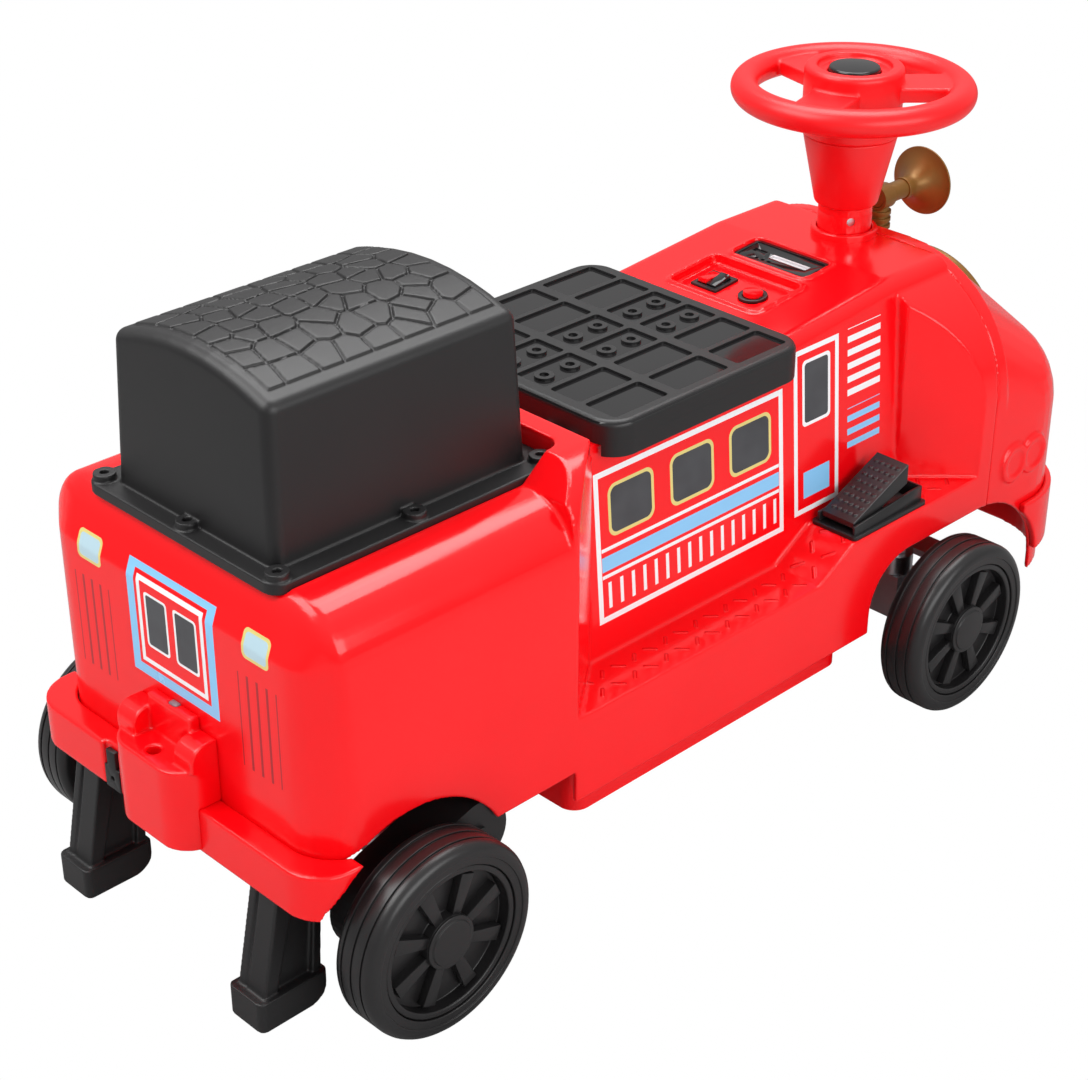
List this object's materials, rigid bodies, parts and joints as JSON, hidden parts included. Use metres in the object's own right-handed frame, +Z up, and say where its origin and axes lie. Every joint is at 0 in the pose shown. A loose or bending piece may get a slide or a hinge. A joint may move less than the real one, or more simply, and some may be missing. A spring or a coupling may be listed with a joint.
{
  "type": "ride-on train",
  "caption": "Battery ride-on toy train with moulded body, coal tender box, lift-up seat, steered front wheels, dash switches, horn and stabiliser legs.",
  "frame": {"origin": "on the floor under the middle of the whole toy", "axes": "+X towards the nose, +Y to the rider's left, +Z up"},
  "size_m": [0.873, 0.383, 0.491],
  "materials": {
    "red_plastic": "glossy moulded",
    "black_plastic": "satin moulded",
    "gloss_black_plastic": "polished",
    "wheel_plastic": "satin blow moulded",
    "zinc_steel": "zinc plated",
    "gold_plastic": "metallic pigment",
    "lamp_lens": "polished",
    "grey_plastic": "satin",
    "battery_case": "satin"
  },
  "bodies": {
    "frame": {"body_shell": "red_plastic", "front_fascia": "red_plastic", "chassis_pan": "red_plastic", "front_bumper": "red_plastic", "rear_bumper": "red_plastic", "hitch_pocket": "red_plastic", "hitch_tongue": "grey_plastic", "hitch_clip": "black_plastic", "tender_box": "black_plastic", "tender_screws": "zinc_steel", "anti_tip_leg_left": "black_plastic", "anti_tip_leg_right": "black_plastic", "seat_hinge": "zinc_steel", "battery": "battery_case", "rear_axle": "zinc_steel", "axle_nuts": "zinc_steel", "gearbox": "black_plastic", "drive_motor": "zinc_steel", "axle_bracket": "black_plastic", "front_beam": "zinc_steel", "media_panel": "gloss_black_plastic", "dual_switch_housing": "gloss_black_plastic", "round_switch_housing": "gloss_black_plastic", "column_collar": "red_plastic", "horn_bracket": "gold_plastic", "horn_bell": "gold_plastic", "headlamp_rim": "gold_plastic", "headlamp_lens": "lamp_lens", "pedal_base": "black_plastic", "pedal_spring": "zinc_steel", "body_screws": "zinc_steel"},
    "steering": {"steering_wheel": "red_plastic", "steering_cup": "red_plastic", "column_sleeve": "red_plastic", "column_screw": "zinc_steel", "steering_rod": "zinc_steel"},
    "horn_button": {"horn_button": "gloss_black_plastic"},
    "seat": {"seat": "gloss_black_plastic"},
    "knuckle_left": {"knuckle_left": "zinc_steel", "stub_nut_left": "zinc_steel"},
    "knuckle_right": {"knuckle_right": "zinc_steel", "stub_nut_right": "zinc_steel"},
    "tie_rod": {"tie_rod": "zinc_steel"},
    "pedal": {"pedal_plate": "black_plastic"},
    "rocker_red": {"rocker_red": "red_plastic"},
    "rocker_black": {"rocker_black": "gloss_black_plastic"},
    "rocker_power": {"rocker_power": "red_plastic"},
    "wheel_rear_left": {"tyre_rear_left": "wheel_plastic", "trim_rear_left": "wheel_plastic", "cap_rear_left": "wheel_plastic"},
    "wheel_rear_right": {"tyre_rear_right": "wheel_plastic", "trim_rear_right": "wheel_plastic", "cap_rear_right": "wheel_plastic"},
    "wheel_front_left": {"tyre_front_left": "wheel_plastic", "trim_front_left": "wheel_plastic", "cap_front_left": "wheel_plastic"},
    "wheel_front_right": {"tyre_front_right": "wheel_plastic", "trim_front_right": "wheel_plastic", "cap_front_right": "wheel_plastic"}
  },
  "joints": [
    {"name": "steering_turn", "type": "hinge", "parent": "frame", "child": "steering", "pos_m": [0.28, 0, 0.471], "axis": [0, 0, 1], "range_deg": [-30, 30]},
    {"name": "horn_press", "type": "slide", "parent": "steering", "child": "horn_button", "axis": [0, 0, -1], "range_m": [0, 0.003], "stiffness_N_per_m": 900, "springref_m": -0.002},
    {"name": "seat_lift", "type": "hinge", "parent": "frame", "child": "seat", "pos_m": [-0.108, 0, 0.322], "axis": [0, -1, 0], "range_deg": [0, 58]},
    {"name": "knuckle_left_turn", "type": "hinge", "parent": "frame", "child": "knuckle_left", "pos_m": [0.2345, 0.112, 0.1], "axis": [0, 0, 1], "range_deg": [-14, 14]},
    {"name": "knuckle_right_turn", "type": "hinge", "parent": "frame", "child": "knuckle_right", "pos_m": [0.2345, -0.112, 0.1], "axis": [0, 0, 1], "range_deg": [-14, 14]},
    {"name": "tie_rod_slide", "type": "slide", "parent": "frame", "child": "tie_rod", "axis": [0, 1, 0], "range_m": [-0.0195, 0.0195]},
    {"name": "wheel_rear_left_spin", "type": "hinge", "parent": "frame", "child": "wheel_rear_left", "pos_m": [-0.3305, 0.1725, 0.073], "axis": [0, 1, 0], "continuous": true},
    {"name": "wheel_rear_right_spin", "type": "hinge", "parent": "frame", "child": "wheel_rear_right", "pos_m": [-0.3305, -0.1725, 0.073], "axis": [0, 1, 0], "continuous": true},
    {"name": "wheel_front_left_spin", "type": "hinge", "parent": "knuckle_left", "child": "wheel_front_left", "pos_m": [0.2345, 0.1725, 0.073], "axis": [0, 1, 0], "continuous": true},
    {"name": "wheel_front_right_spin", "type": "hinge", "parent": "knuckle_right", "child": "wheel_front_right", "pos_m": [0.2345, -0.1725, 0.073], "axis": [0, 1, 0], "continuous": true},
    {"name": "pedal_press", "type": "hinge", "parent": "frame", "child": "pedal", "pos_m": [0.136, -0.1295, 0.189], "axis": [0, 1, 0], "range_deg": [0, 8], "stiffness_Nm_per_rad": 4, "springref_deg": -8.59, "deforming": ["pedal_spring"]},
    {"name": "rocker_red_tilt", "type": "hinge", "parent": "frame", "child": "rocker_red", "pos_m": [0.14797, 0.02675, 0.33894], "axis": [0, 1, 0], "range_deg": [-18, 0]},
    {"name": "rocker_black_tilt", "type": "hinge", "parent": "frame", "child": "rocker_black", "pos_m": [0.14797, 0.01725, 0.33894], "axis": [0, 1, 0], "range_deg": [0, 18]},
    {"name": "rocker_power_tilt", "type": "hinge", "parent": "frame", "child": "rocker_power", "pos_m": [0.14797, -0.018, 0.33894], "axis": [0, 1, 0], "range_deg": [-18, 0]}
  ],
  "couplings": [
    {"joint": "knuckle_left_turn", "follows": "steering_turn", "ratio": 0.45},
    {"joint": "knuckle_right_turn", "follows": "steering_turn", "ratio": 0.45},
    {"joint": "tie_rod_slide", "follows": "steering_turn", "m_per_rad": 0.0363}
  ]
}
